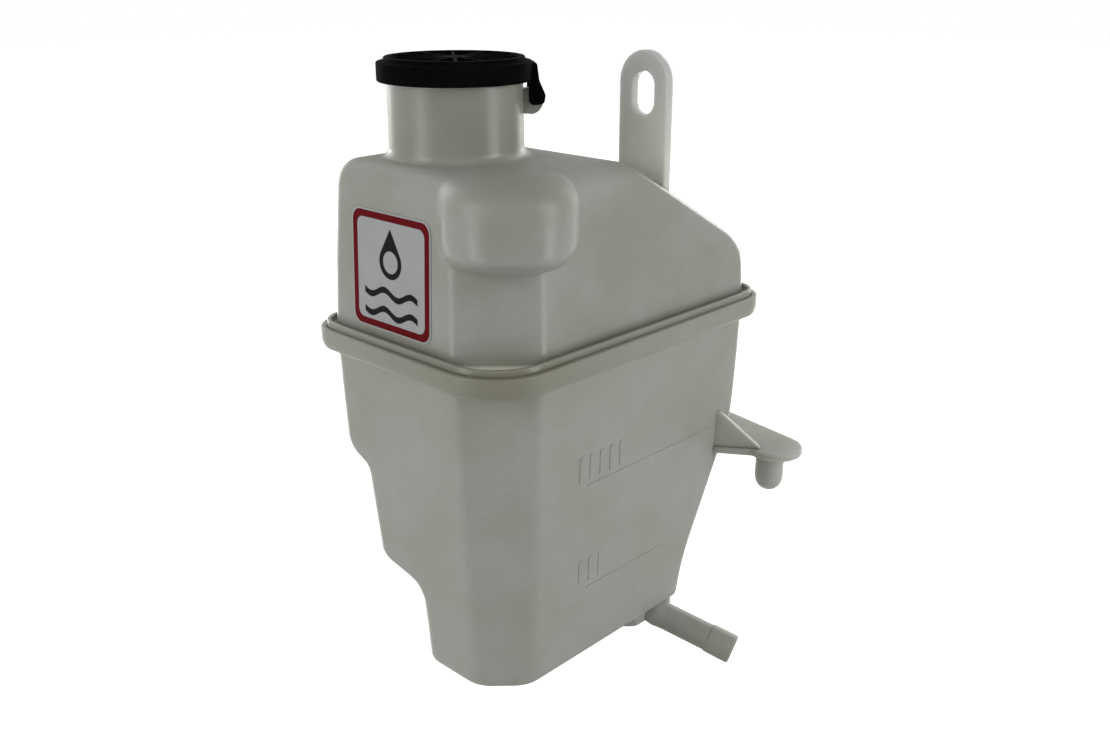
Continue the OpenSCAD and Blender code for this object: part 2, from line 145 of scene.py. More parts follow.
def mesh_piece(name, verts, quads, tris, body, slot, material):
    """Points in the seam frame and their faces as one smooth piece on a body."""
    mesh = bpy.data.meshes.new(name)
    mesh.vertices.add(len(verts))
    mesh.vertices.foreach_set("co", to_part(verts).astype(np.float32).ravel())
    loops = np.concatenate([quads.ravel(), tris.ravel()])
    sizes = np.concatenate([np.full(len(quads), 4), np.full(len(tris), 3)])
    mesh.loops.add(len(loops))
    mesh.loops.foreach_set("vertex_index", loops.astype(np.int32))
    mesh.polygons.add(len(sizes))
    starts = np.concatenate([[0], np.cumsum(sizes)[:-1]])
    mesh.polygons.foreach_set("loop_start", starts.astype(np.int32))
    mesh.polygons.foreach_set("use_smooth", np.ones(len(sizes), bool))
    mesh.update(calc_edges=True)
    mesh.validate()
    mesh.materials.append(material)
    piece = bpy.data.objects.new(name, mesh)
    bpy.context.scene.collection.objects.link(piece)
    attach(piece, body)
    return piece


def join_pieces(parts):
    """Several grids, given as (verts, quads, tris), set side by side in one mesh."""
    shift, verts, quads, tris = 0, [], [], []
    for v, q, t in parts:
        verts.append(v)
        quads.append(q + shift)
        tris.append(t + shift)
        shift += len(v)
    return np.concatenate(verts), np.concatenate(quads), np.concatenate(tris)


def grid_faces(points, closed_v=False):
    """A grid of points as (verts, quads, tris). Columns close on themselves.
    Rows close on themselves, or end in a fan about the end row's mean."""
    rows, cols = points.shape[:2]
    row = np.arange(rows if closed_v else rows - 1)[:, None]
    col = np.arange(cols)[None, :]
    a = row * cols + col
    b = row * cols + (col + 1) % cols
    c = (row + 1) % rows * cols + (col + 1) % cols
    d = (row + 1) % rows * cols + col
    quads = np.stack([a, b, c, d], axis=-1).reshape(-1, 4)
    verts = points.reshape(-1, 3)
    if closed_v:
        return verts, quads, np.zeros((0, 3), int)
    ring = np.arange(cols)
    turn = (ring + 1) % cols
    base = (rows - 1) * cols
    tris = np.concatenate([
        np.stack([turn, ring, np.full(cols, len(verts))], 1),
        np.stack([base + ring, base + turn, np.full(cols, len(verts) + 1)], 1)])
    verts = np.concatenate([verts, [points[0].mean(0)], [points[-1].mean(0)]])
    return verts, quads, tris


def rounded(profile, radius, steps=5, closed=False):
    """A polyline whose corners are rounded: each corner is a quadratic curve
    that leaves each side at the given distance, or at 0.45 of the shorter side."""
    p = np.asarray(profile, float)
    before = np.roll(p, 1, axis=0) - p
    after = np.roll(p, -1, axis=0) - p
    len_b = np.linalg.norm(before, axis=1)
    len_a = np.linalg.norm(after, axis=1)
    reach = np.minimum(np.broadcast_to(radius, len(p)), 0.45 * np.minimum(len_b, len_a))
    start = p + before / len_b[:, None] * reach[:, None]
    end = p + after / len_a[:, None] * reach[:, None]
    t = np.linspace(0, 1, steps)[None, :, None]
    curve = (1 - t) ** 2 * start[:, None] + 2 * t * (1 - t) * p[:, None] + t ** 2 * end[:, None]
    if closed:
        return curve.reshape(-1, 2)
    return np.concatenate([p[:1], curve[1:-1].reshape(-1, 2), p[-1:]])


def turned(profile, cols=96):
    """A profile of (radius, height) rows turned about Z: x = r cos a, y = r sin a."""
    a = np.linspace(0, 2 * np.pi, cols, endpoint=False)
    r, z = profile[:, :1], profile[:, 1:]
    return np.stack([r * np.cos(a), r * np.sin(a), np.broadcast_to(z, (len(r), cols))], axis=-1)


def inset_outline(outline, gap):
    """Each point of a closed outline moved inwards along its normal by gap."""
    run = np.roll(outline, -1, axis=0) - np.roll(outline, 1, axis=0)
    run /= np.linalg.norm(run, axis=1)[:, None]
    return outline + np.stack([-run[:, 1], run[:, 0]], 1) * gap


def edge_rows(outline, low, high, edge, steps, support):
    """An outline with its distance inwards and height, for each row up a side:
    each edge is a quarter circle of radius edge, and a row at support times
    edge keeps the flat face beside it flat."""
    a = np.linspace(0, np.pi / 2, steps)
    gaps = np.concatenate([[support * edge], edge * (1 - np.sin(a))])
    falls = np.concatenate([[0.0], edge * (1 - np.cos(a))])
    up = [(outline, gap, low + fall) for gap, fall in zip(gaps, falls)]
    return up + [(outline, gap, high - fall) for gap, fall in zip(gaps[::-1], falls[::-1])]


def stacked(rows):
    """Outlines moved inwards by their distance and set at their height."""
    return np.array([np.column_stack([inset_outline(line, gap), np.full(len(line), z)])
                     for line, gap, z in rows])


def prism(outline, low, high, edge, steps=5):
    """A closed outline, counterclockwise, raised from low to high with round
    edges."""
    return stacked(edge_rows(outline, low, high, edge, steps, 1.5))[::-1]


def plate(outer, inner, low, high, edge):
    """A plate between an outer and an inner outline of as many points: its
    closed section runs up the rim, over the top and down the hole."""
    rim = edge_rows(outer, low, high, edge, 4, 1.6)
    hole = edge_rows(inner, low, high, edge, 4, 1.6)
    return stacked(rim + [(line, -gap, z) for line, gap, z in hole[::-1]])


def stood_up(rows):
    """A prism turned so that its outline stands upright, x along and y up."""
    return np.stack([rows[..., 0], -rows[..., 2], rows[..., 1]], axis=-1)


def evenly(outline, count):
    """A closed outline sampled at equal steps along its length."""
    loop = np.concatenate([outline, outline[:1]])
    s = np.concatenate([[0], np.cumsum(np.linalg.norm(np.diff(loop, axis=0), axis=1))])
    t = np.linspace(0, s[-1], count, endpoint=False)
    return np.column_stack([np.interp(t, s, loop[:, 0]), np.interp(t, s, loop[:, 1])])


# ------------------------------------------------------------- shell outlines

# Rounds between the walls, and how far the walls stand in from the flange's edge
WALL_RADIUS = 8.0
FLANGE_IN = 7.0
FLANGE_CORNER = 26.0
NECK_CENTRE = np.array([47.0, 69.0])
# The bulge seen from above, the height where it starts and that of its underside
BULGE_CENTRE = (28.5, 21.5)
BULGE_RADIUS = 25.0
BULGE_UNDER = 43.0
BULGE_ROUND = 10.0
# The front left corner: how much is cut off either wall, and the cut's rounds
CORNER_CUT = 22.0
CUT_RADIUS = 6.0
# Heights of the flange's outer step, and of the seam inside it
LEDGE = 8.0
TRAY = 5.0
FLOOR_RADIUS = 5.0
# The roof's round edge, how far its flat ends from the flange's right edge, and
# the round between the flat and the slope
ROOF_RADIUS = 11.0
ROOF_FLAT = 83.0
CREST_RADIUS = 34.0
# The sump's left side, its depth, its set-in from the walls and its round edge
SUMP_X = 95.5
SUMP_DROP = 9.0
SUMP_IN = 0.25
SUMP_LIP = 1.6
# Drafts of the walls, and the tangent that an eighth of a turn's round takes up
LOWER_SLOPE = math.tan(math.radians(1.5))
UPPER_SLOPE = math.tan(math.radians(2.6))
EIGHTH = math.tan(math.radians(22.5))
# Steps along the front left corner, whether it is cut, round or the bulge
CORNER = 40

# Height below the flange, then the back wall's and the end wall's distance in
LOWER_WALLS = np.array([
    (0, 6.5, 6.5), (21, 7.0, 6.8), (40.6, 7.7, 7.6), (44.8, 10.2, 8.0), (48.7, 18.6, 8.7),
    (52.4, 20.4, 9.8), (57.6, 21.0, 12.0), (87.8, 24.8, 26.5), (90.7, 29.0, 27.9), (91.4, 38.5, 28.3),
    (94.6, 46.6, 29.8), (100.2, 50.4, 32.6), (112.7, 51.9, 37.6), (121.8, 52.4, 39.8), (131, 53.0, 41.0)])
# Height above the flange's underside, then the same two distances
UPPER_WALLS = np.array([
    (8, 6.2, 6.4), (22.3, 6.6, 6.6), (26.4, 6.8, 7.4), (29.8, 6.9, 9.4), (35.9, 7.1, 14.6), (76, 10.5, 84.5)])


def smoothed(walls, column, at, reach):
    """A table's column read at the given heights, averaged over reach to either
    side, so that its corners turn into curves."""
    steps = np.linspace(-reach, reach, 9)
    return np.interp(at[:, None] + steps, walls[:, 0], walls[:, column]).mean(1)


def arc(cx, cy, r, a0, a1, n):
    """Arcs, one for each row, as rows by n + 1 by 2. Angles are in degrees."""
    cx, cy, r, a0, a1 = (np.reshape(v, (-1, 1)) for v in np.broadcast_arrays(cx, cy, r, a0, a1))
    a = np.radians(a0 + (a1 - a0) * np.linspace(0, 1, n + 1))
    return np.stack([cx + r * np.cos(a), cy + r * np.sin(a)], axis=-1)


def one_arc(cx, cy, r, a0, a1, n):
    """A single arc of n + 1 points."""
    return arc(cx, cy, r, a0, a1, n)[0]


def circle(cx, cy, r, count, start=0.0):
    """A whole circle of count points."""
    return one_arc(cx, cy, r, start, start + 360, count)[:-1]


def straight(p, q, n, near_p=1.0, near_q=1.0):
    """Points strictly between p and q, one run for each row, which crowd
    towards p or q as that end's power grows."""
    t = (np.arange(1, n + 1) / (n + 1))[None, :, None]
    t = 1 - (1 - t ** near_p) ** near_q
    return p[:, None] * (1 - t) + q[:, None] * t


def cut_corner(x, y, cut, r, ends_y, ends_x):
    """A flat cut at 45 degrees with a round of radius r at either end, sampled
    evenly from (x, ends_y) down to (ends_x, y)."""
    run = r * EIGHTH
    leg_a = ends_y - (y + cut + run)
    leg_b = ends_x - (x + cut + run)
    bend = r * np.pi / 4
    start = np.stack([x + r * (1 - np.sqrt(0.5)), y + cut + run - r * np.sqrt(0.5)], -1)
    end = np.stack([x + cut + run - r * np.sqrt(0.5), y + r * (1 - np.sqrt(0.5))], -1)
    flat = np.linalg.norm(end - start, axis=-1)
    total = leg_a + 2 * bend + flat + leg_b
    s = np.linspace(0, 1, CORNER + 1)[None, :] * total[:, None]
    s1, s2 = leg_a[:, None], (leg_a + bend)[:, None]
    s3, s4 = (leg_a + bend + flat)[:, None], (leg_a + 2 * bend + flat)[:, None]
    rr, xx, yy = r[:, None], x[:, None], y[:, None]
    cc = (cut + run)[:, None]
    turn_a = np.clip((s - s1) / rr, 0, np.pi / 4)
    turn_b = np.clip((s - s3) / rr, 0, np.pi / 4)
    px = np.where(s <= s2, xx + rr * (1 - np.cos(turn_a)),
                  np.where(s <= s3, start[:, None, 0] + (s - s2) * np.sqrt(0.5),
                           np.where(s <= s4, xx + cc - rr * np.sin(np.pi / 4 - turn_b),
                                    xx + cc + (s - s4))))
    py = np.where(s <= s1, ends_y[:, None] - s,
                  np.where(s <= s2, yy + cc - rr * np.sin(turn_a),
                           np.where(s <= s3, start[:, None, 1] - (s - s2) * np.sqrt(0.5),
                                    yy + rr * (1 - np.cos(np.pi / 4 - turn_b)))))
    return np.stack([px, py], -1)


def bulge_corner(x, y, r):
    """Arc of the bulge between its crossings with the left and front walls."""
    cx, cy = BULGE_CENTRE
    first = 180 - np.degrees(np.arccos((cx - x) / r))
    last = 360 - np.degrees(np.arcsin((cy - y) / r))
    return arc(cx, cy, r, first, last, CORNER)


def outline(corner, x0, x1, y0, y1, r_left, r_right):
    """Outlines from above, one for each row: a free front left corner, then the
    front, right, back and left sides with a round corner between each two."""
    front = arc(x1 - r_right, y0 + r_right, r_right, 270, 360, 12)
    back = arc(x1 - r_right, y1 - r_right, r_right, 0, 90, 12)
    left = arc(x0 + r_left, y1 - r_left, r_left, 90, 180, 12)
    return np.concatenate([
        corner, straight(corner[:, -1], front[:, 0], 18, near_p=1.6),
        front, straight(front[:, -1], back[:, 0], 26),
        back, straight(back[:, -1], left[:, 0], 22),
        left, straight(left[:, -1], corner[:, 0], 18, near_q=1.8)], axis=1)


def lift(rings, z):
    """Rows of plan outlines set at their heights."""
    high = np.broadcast_to(np.reshape(z, (-1, 1, 1)), rings.shape[:2] + (1,))
    return np.concatenate([rings, high], axis=-1)


def flange_rings(sizes, gap, z):
    """Outlines of the flange at each height, moved in by gap."""
    gap = np.asarray(gap, float)
    length, depth = sizes.flange_length * 1000, sizes.flange_depth * 1000
    r = FLANGE_CORNER - gap
    corner = arc(gap + r, gap + r, r, 180, 270, CORNER)
    side = WALL_RADIUS + FLANGE_IN - gap
    return lift(outline(corner, gap, length - gap, gap, depth - gap, side, side), z)


def lower_rings(sizes, z, gap, drawn=0.0, end_drawn=0.0, left=0.0):
    """Outlines of the lower shell's wall at heights z, gap inside the outer
    surface. drawn and end_drawn pull them in where an edge is rounded, and left
    keeps them to the right of the sump's edge."""
    z, drawn, end_drawn = (v.astype(float) for v in np.broadcast_arrays(z, drawn, end_drawn))
    down = gap - z
    share = np.clip(down / (sizes.floor_depth * 1000), 0, 1)
    y0 = FLANGE_IN - LOWER_SLOPE * z + gap + drawn
    x0 = np.maximum(y0, left + gap + drawn)
    y1 = sizes.flange_depth * 1000 - smoothed(LOWER_WALLS, 1, down, 1.3) - gap - drawn
    x1 = sizes.flange_length * 1000 - smoothed(LOWER_WALLS, 2, down, 4) - gap - end_drawn
    r = np.maximum(1.5, WALL_RADIUS - gap - drawn)
    small = 0.3 if left > 0 else 1.0
    cut = (CORNER_CUT - 0.586 * gap) * (1 - 0.35 * share) * small
    bend = (CUT_RADIUS + 8 * share - gap) * small
    reach = cut + bend * EIGHTH + 1
    corner = cut_corner(x0, y0, cut, bend, y0 + reach, x0 + reach)
    return lift(outline(corner, x0, x1, y0, y1, r, r), z)


def slope_end(sizes, height):
    """The end wall's distance in, from its table up to the roof's crest, where
    an arc leads from the slope to the flat."""
    x = smoothed(UPPER_WALLS, 2, height, 2.5)
    turn = np.radians(np.linspace(0, 30, 16))
    roof = sizes.roof_height * 1000
    crest_z = roof - CREST_RADIUS * (1 - np.cos(turn))
    crest_x = sizes.flange_length * 1000 - ROOF_FLAT + 9.1 - CREST_RADIUS * np.sin(turn)
    curved = np.interp(height, crest_z[::-1], crest_x[::-1])
    blend = np.clip((height - crest_z[-1] + 1) / 2, 0, 1)
    return x * (1 - blend) + curved * blend


def upper_rings(sizes, z, gap, drawn=0.0):
    """Outlines of the upper shell's wall, in the same way. The flat cut corner
    turns into the bulge over the bulge's rounded underside."""
    z, drawn = (v.astype(float) for v in np.broadcast_arrays(z, drawn))
    y0 = FLANGE_IN + UPPER_SLOPE * (z - LEDGE) + gap + drawn
    height = z + gap
    y1 = sizes.flange_depth * 1000 - smoothed(UPPER_WALLS, 1, height, 1) - gap - drawn
    x1 = sizes.flange_length * 1000 - slope_end(sizes, height) - gap
    r = np.maximum(1.5, WALL_RADIUS - gap - drawn)
    round_one = bulge_corner(y0, y0, BULGE_RADIUS - gap - drawn)
    flat_one = cut_corner(y0, y0, np.full(len(z), CORNER_CUT - 0.586 * gap),
                          np.full(len(z), CUT_RADIUS - gap), round_one[:, 0, 1], round_one[:, -1, 0])
    start = BULGE_UNDER + gap + 7 * np.linspace(-1, 1, CORNER + 1) ** 4
    rise = np.clip((z[:, None] - start) / BULGE_ROUND, 0, 1)
    share = ((1 - (1 - rise) ** 2) ** 0.62)[..., None]
    corner = flat_one * (1 - share) + round_one * share
    rings = soft_corner(outline(corner, y0, x1, y0, y1, r, r))
    softer = rings
    for _ in range(5):
        softer = soft_corner(softer)
    shoulder = np.clip(drawn / (ROOF_RADIUS - gap), 0, 1)[:, None, None]
    return lift(rings + (softer - rings) * shoulder, z)


def soft_corner(rings):
    """The rings with a running mean of five points over the front left corner,
    which fades out over four points to either side."""
    mean = np.mean([np.roll(rings, k, axis=1) for k in range(-2, 3)], axis=0)
    place = (np.arange(rings.shape[1]) + 4) % rings.shape[1]
    near = np.clip(place / 4, 0, 1) * np.clip((CORNER + 8 - place) / 4, 0, 1)
    return rings + (mean - rings) * near[None, :, None]


def quarter(steps):
    """Angles of a quarter turn, in radians."""
    return np.linspace(0, np.pi / 2, steps + 1)[1:]


# ----------------------------------------------------------------- materials

def maths(operation):
    """A method that adds one Math node with this operation."""
    return lambda self, *others: self.build.maths(operation, self, *others)


class Value:
    """A shader socket that adds Math nodes when it is used in an expression."""

    def __init__(self, build, socket):
        self.build, self.socket = build, socket

    __add__ = __radd__ = maths("ADD")
    __sub__ = maths("SUBTRACT")
    __mul__ = __rmul__ = maths("MULTIPLY")
    __truediv__ = maths("DIVIDE")
    abs, root, sin = maths("ABSOLUTE"), maths("SQRT"), maths("SINE")
    smaller, larger = maths("MINIMUM"), maths("MAXIMUM")

    def __rsub__(self, other):
        return self.build.maths("SUBTRACT", other, self)

    def between(self, low, high):
        """0 below low and 1 above high, straight in between."""
        return ((self - low) / (high - low)).smaller(1.0).larger(0.0)

    def filled(self):
        """For a distance in millimetres: 1 inside it and 0 outside, with an
        edge 0.2 wide."""
        return 1.0 - self.between(-0.1, 0.1)


class NodeTree:
    """A node tree under construction."""

    def __init__(self, tree):
        self.tree = tree
        tree.nodes.clear()

    def node(self, kind, settings=None, inputs=None, output=0):
        """Adds a node, sets its settings first and then its sockets, and gives
        back the output asked for, or a list for a tuple of outputs."""
        made = self.tree.nodes.new(kind)
        for key, value in (settings or {}).items():
            setattr(made, key, value)
        for key, value in (inputs or {}).items():
            self.feed(made.inputs[key], value)
        if isinstance(output, tuple):
            return [Value(self, made.outputs[key]) for key in output]
        return made if output is None else Value(self, made.outputs[output])

    def feed(self, socket, value):
        """Links a Value, or sets a plain number or colour."""
        if isinstance(value, Value):
            self.tree.links.new(value.socket, socket)
        elif socket.type == "RGBA":
            socket.default_value = (*value[:3], 1.0)
        else:
            socket.default_value = value

    def maths(self, operation, *values):
        """One Math node on up to three sockets or numbers."""
        return self.node("ShaderNodeMath", {"operation": operation}, dict(enumerate(values)))

    def mix(self, share, first, second):
        """The first colour where share is 0, the second where it is 1."""
        return self.node("ShaderNodeMix", {"data_type": "RGBA"}, {0: share, 6: first, 7: second}, 2)


class Finish(NodeTree):
    """A material under construction, with one Principled shader."""

    def __init__(self, name, **fixed):
        self.material = bpy.data.materials.new(name)
        self.material.use_nodes = True
        super().__init__(self.material.node_tree)
        self.shader = self.node("ShaderNodeBsdfPrincipled", output=None)
        shaded = Value(self, self.shader.outputs[0])
        self.node("ShaderNodeOutputMaterial", {}, {"Surface": shaded}, None)
        self.place = self.node("ShaderNodeTexCoord", output="Object")
        self.finish(**fixed)

    def noise(self, scale, detail=2.0, roughness=0.5):
        """Smooth noise, about 0.5 on average."""
        return self.node("ShaderNodeTexNoise", {}, {
            "Vector": self.place, "Scale": scale, "Detail": detail, "Roughness": roughness})

    def axes(self):
        """The object's x, y and z at the point, in metres."""
        return self.node("ShaderNodeSeparateXYZ", {}, {0: self.place}, (0, 1, 2))

    def bump(self, height, distance, strength):
        """A normal tilted by the slope of height times distance, in metres."""
        return self.node("ShaderNodeBump", {}, {
            "Height": height, "Distance": distance, "Strength": strength})

    def finish(self, **links):
        """Sets or links the shader's sockets, named with _ for a space."""
        for socket, value in links.items():
            self.feed(self.shader.inputs[socket.replace("_", " ")], value)
        return self.material


def tinted(colour, *factors):
    """A colour times one factor, or times three, kept below white."""
    return tuple(min(1.0, c * k) for c, k in zip(colour, factors * (3 // len(factors))))


def seam_place(finish):
    """The point's x, y and z in the seam frame, in millimetres."""
    return [axis * 1000.0 + float(start) for axis, start in zip(finish.axes(), SEAM_ORIGIN)]


def flange_edge(x, y):
    """Distance in from the flange's outline: the least of those to its four
    sides and to a line across its front left corner."""
    across_corner = (x + y) * 0.707 - 10.8
    return x.smaller(y).smaller(across_corner).smaller(FLANGE_SIZE[0] - x).smaller(FLANGE_SIZE[1] - y)


PATCH_SCALE = 28.0
GRAIN_SCALE = 900.0
# Painted light for the ledge at the wall's foot, against the shade in the groove between the wall and the lip
LEDGE_PAINTED_LIGHT = (0.9, 0.88, 0.74)
# Painted shade towards the top, for the dark cap and the tank's inside seen through the neck: its colour, the
# heights that it comes in between, and its share
TOP_PAINTED_SHADE = ((0.20, 0.195, 0.16), 74.0, 84.0, 0.35)


def natural_plastic(part, colours, grain, roughness, through=0.12, top=TOP_PAINTED_SHADE):
    """Milky moulded plastic: cloudy patches, a darker and warmer band where the
    weld makes it thick, painted light on the flange's ledge, painted shade by
    height towards the top, and a grain in the gloss and in the surface. through
    is the share of light that enters the wall."""
    f = Finish(part + "_plastic", Subsurface_Weight=through, Subsurface_Scale=0.004 + 0.008 * through,
               Subsurface_Radius=(1.0, 1.0, 1.0), Specular_IOR_Level=0.45)
    colour = getattr(colours, part)
    cloud = f.noise(PATCH_SCALE, 3.0, 0.55)
    speck = f.noise(GRAIN_SCALE, 2.0, 0.6)
    base = f.mix(cloud.between(0.35, 0.65), tinted(colour, 0.88, 0.87, 0.80),
                 tinted(colour, 1.05, 1.06, 1.08))
    base = f.mix(speck.between(0.3, 0.7) * grain, base, tinted(colour, 0.9))
    x, y, z = seam_place(f)
    edge = flange_edge(x, y)
    band = z.between(-1.0, 2.0) * (1.0 - z.between(11.0, 13.0)) * (1.0 - edge.between(4.6, 6.2))
    thick = 0.85 - (x * x + y * y).root().between(15.0, 75.0) * 0.55
    base = f.mix(band * thick, base, colours.weld)
    # Painted light: the ledge at the wall's foot is made lighter, to make up for the shade in the groove
    # between the wall and the lip
    ledge_light_mask = z.between(7.7, 7.95) * (1.0 - z.between(8.4, 9.4)) * edge.between(4.2, 4.6)
    base = f.mix(ledge_light_mask * 0.6, base, LEDGE_PAINTED_LIGHT)
    # Painted shade: the colour darkens and warms towards the top, for the shade of the dark cap and the
    # tank's inside seen through the neck
    painted_top_shade, low, full, share = top
    base = f.mix(z.between(low, full) * share, base, painted_top_shade)
    # The roof is duller, more so towards its flat
    roof = z.between(58.0, 76.0) * (1.0 - z.between(76.2, 79.0))
    rough = cloud * 0.1 + (roughness - 0.05) + speck * (0.12 * grain) + roof * roof * 0.3
    uneven = f.bump(speck * grain + cloud * 0.6, 0.0002, 0.5)
    return f.finish(Base_Color=base, Roughness=rough, Normal=uneven)


def black_plastic(colour):
    """Satin black with a fine moulded grain."""
    f = Finish("black_plastic", Specular_IOR_Level=0.002)
    speck = f.noise(1600.0, 2.0, 0.6)
    cloud = f.noise(60.0, 2.0)
    base = f.mix(cloud.between(0.3, 0.7), colour, tinted(colour, 1.7))
    return f.finish(Base_Color=base, Roughness=cloud * 0.16 + 0.44, Normal=f.bump(speck, 0.0001, 0.4))


def seal_rubber(colour):
    """Matte rubber with a dusty bloom."""
    f = Finish("seal_rubber")
    cloud = f.noise(140.0, 3.0)
    base = f.mix(cloud.between(0.4, 0.75), colour, tinted(colour, 2.2))
    return f.finish(Base_Color=base, Roughness=cloud * 0.15 + 0.65, Normal=f.bump(cloud, 0.0001, 0.4))


LABEL_SIDE = 46.0
LABEL_LOW = 13.5
LABEL_FRONT = 41.5
LABEL_CORNER = 4.5
DROP_UP = 3.5
DROP_RADIUS = 5.2


def printed_label(colours):
    """Print by distance: a border between two rounded squares, and a plain
    drop over two waves, all as functions of the place across the label."""
    f = Finish("label_print", Specular_IOR_Level=0.03)
    _, y, z = seam_place(f)
    across, up = y - (LABEL_FRONT + LABEL_SIDE / 2), z - (LABEL_LOW + LABEL_SIDE / 2)
    # The drawing's own units are 1.25 mm
    wide, high = across * 0.8, up * 0.8

    def square(half, corner):
        """Signed distance to a rounded square of half side half."""
        px = (across.abs() - (half - corner)).larger(0.0)
        py = (up.abs() - (half - corner)).larger(0.0)
        return (px * px + py * py).root() - corner

    def wave(height):
        """Distance to a line that runs as a sine about the given height."""
        return (high - height - (wide * 0.5).sin() * 1.1).abs()

    def spot(radius):
        """Signed distance to a circle about the drop's middle."""
        return (wide * wide + (high - DROP_UP) * (high - DROP_UP)).root() - radius

    inside = square(LABEL_SIDE / 2 - 3.4, 3.2).filled()
    border = square(LABEL_SIDE / 2 - 0.7, 4.4).filled() * (1.0 - inside)
    waves = (wave(-6.5).smaller(wave(-12.5)) - 1.0).filled() * (wide.abs() - 12.5).filled()
    sides = wide.abs() * 0.86 + (high - DROP_UP) * 0.51 - DROP_RADIUS
    taper = sides.larger((DROP_UP - high) + 2.0)
    drop = spot(DROP_RADIUS).smaller(taper).filled() * (1.0 - spot(DROP_RADIUS - 1.8).filled())
    cloud = f.noise(120.0, 3.0)
    base = f.mix(cloud.between(0.3, 0.7), tinted(colours.label_field, 0.94), colours.label_field)
    base = f.mix(border, base, colours.label_border)
    base = f.mix(drop.larger(waves), base, colours.label_ink)
    return f.finish(Base_Color=base, Roughness=cloud * 0.12 + 0.3)


MATERIALS = {}


def material(name, colours):
    """The named finish, made once."""
    if name not in MATERIALS:
        # Painted light and shade on the ear: its lower part keeps the light ear colour against the neck's
        # shadow, and towards the top it darkens to 0.72 of it
        ear_top = (tinted(colours.ear, 0.72), 74.0, 106.0, 1.0)
        makers = {
            "upper": lambda: natural_plastic(name, colours, 0.35, 0.29),
            "lower": lambda: natural_plastic(name, colours, 0.7, 0.42),
            "arm": lambda: natural_plastic(name, colours, 0.7, 0.42, 0.7),
            "ear": lambda: natural_plastic(name, colours, 0.35, 0.29, 0.6, ear_top),
            "cap": lambda: black_plastic(colours.cap),
            "seal": lambda: seal_rubber(colours.seal),
            "label": lambda: printed_label(colours),
        }
        MATERIALS[name] = makers[name]()
    return MATERIALS[name]


# ----------------------------------------------------------------- operators

class LowerShell(bpy.types.Operator):
    """Builds the lower shell with its flange, stepped walls, floor and sump"""
    bl_idname = "coolant_tank.lower_shell"
    bl_label = "Lower Shell"

    def execute(self, context):
        sizes, colours = context.scene.tank_sizes, context.scene.tank_finish
        wall = sizes.wall * 1000
        tray = rounded([(FLANGE_IN + wall + 0.1, TRAY), (2.4, TRAY), (2.4, 9.0), (0.0, 9.0), (0.0, 3.6),
                        (0.8, 0.7), (3.0, 0.0), (FLANGE_IN, 0.0)], [1, 0.4, 0.6, 0.9, 2, 1.6, 1, 1], 6)
        flange = flange_rings(sizes, tray[1:, 0], tray[1:, 1])
        skin = np.concatenate([self.side(sizes, wall)[::-1], flange, self.side(sizes, 0.0)])
        piece = new_piece("lower_body", skin, "tank", "lower_plastic", material("lower", colours))
        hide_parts("lower_shell")
        return {"FINISHED"}

    def side(self, sizes, gap):
        """Rows from the flange down the wall, round the floor's edge, over the
        floor to the sump and round the sump's edge, gap inside the surface."""
        low = -sizes.floor_depth * 1000 + gap
        sump_low = low - SUMP_DROP
        r, rs = FLOOR_RADIUS - gap, 3.5 - 0.6 * gap
        steps = np.concatenate([np.arange(6, 38, 4), np.arange(38, 62, 0.9), np.arange(62, 85, 2.5),
                                np.arange(85, 104, 0.8), np.arange(104, 124, 2.5)])
        walls = lower_rings(sizes, gap - steps, gap)
        top = lower_rings(sizes, np.array([TRAY if gap > 0 else 0.0, -2.0 + gap]), gap)
        a = quarter(8)
        edge = lower_rings(sizes, low + r - r * np.sin(a), gap, r * (1 - np.cos(a)))
        left, front = SUMP_X - FLOOR_RADIUS - SUMP_IN, FLOOR_RADIUS + SUMP_IN
        lip, fall = SUMP_LIP * (1 - np.sin(a[:-1])), SUMP_LIP * (1 - np.cos(a[:-1]))
        mouth = lower_rings(sizes, low - fall, gap, front - lip, SUMP_IN - lip * 0.1, left)
        deep = lower_rings(sizes, np.array([low - 2.2, sump_low + rs]), gap, front, SUMP_IN, left)
        inwards = rs * (1 - np.cos(a))
        bottom = lower_rings(sizes, sump_low + rs - rs * np.sin(a), gap,
                             front + inwards, SUMP_IN + inwards, left)
        return np.concatenate([top, walls, edge, mouth, deep, bottom])


